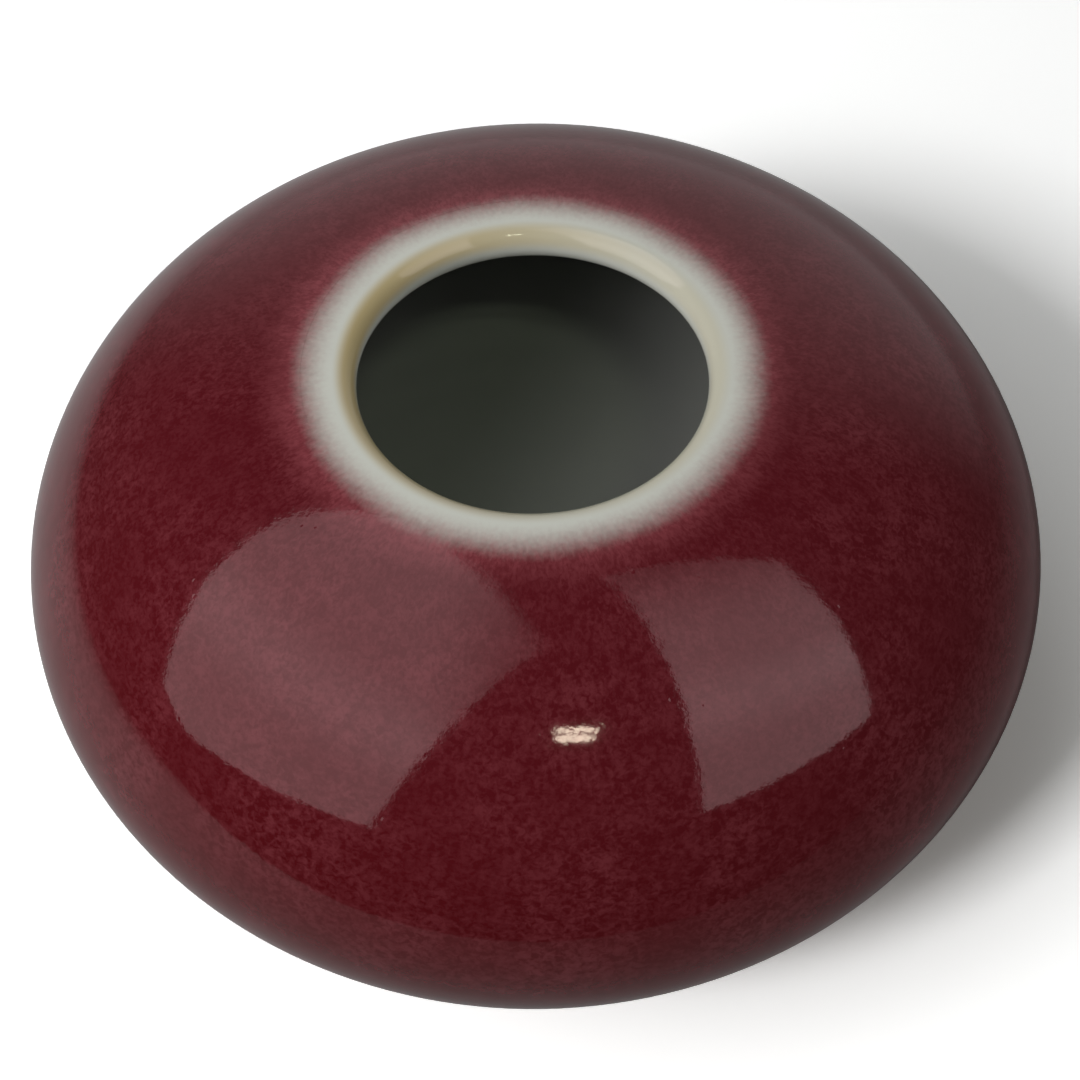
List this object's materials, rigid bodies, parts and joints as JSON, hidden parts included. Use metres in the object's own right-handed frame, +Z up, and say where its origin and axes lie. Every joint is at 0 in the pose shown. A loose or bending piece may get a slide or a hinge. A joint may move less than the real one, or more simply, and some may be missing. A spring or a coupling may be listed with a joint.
{
  "type": "water coupe",
  "caption": "Low round porcelain water coupe with an inturned mouth, a white rounded lip, a deep copper-red glaze and a bare foot ring, for holding water on a writing desk.",
  "frame": {"origin": "centre of the foot ring, on the plane that it stands on", "axes": "+Z up along the pot's axis, from the foot to the mouth"},
  "size_m": [0.1, 0.1, 0.051],
  "materials": {
    "porcelain": "matt",
    "slip": "matt",
    "clear_glaze": "gloss",
    "red_glaze": "gloss"
  },
  "bodies": {
    "root": {"lower_bowl": "porcelain", "upper_shoulder": "porcelain", "luting_slip": "slip", "ground_glaze": "clear_glaze", "copper_red_glaze": "red_glaze", "lining_glaze": "clear_glaze", "base_glaze": "clear_glaze"}
  },
  "joints": []
}
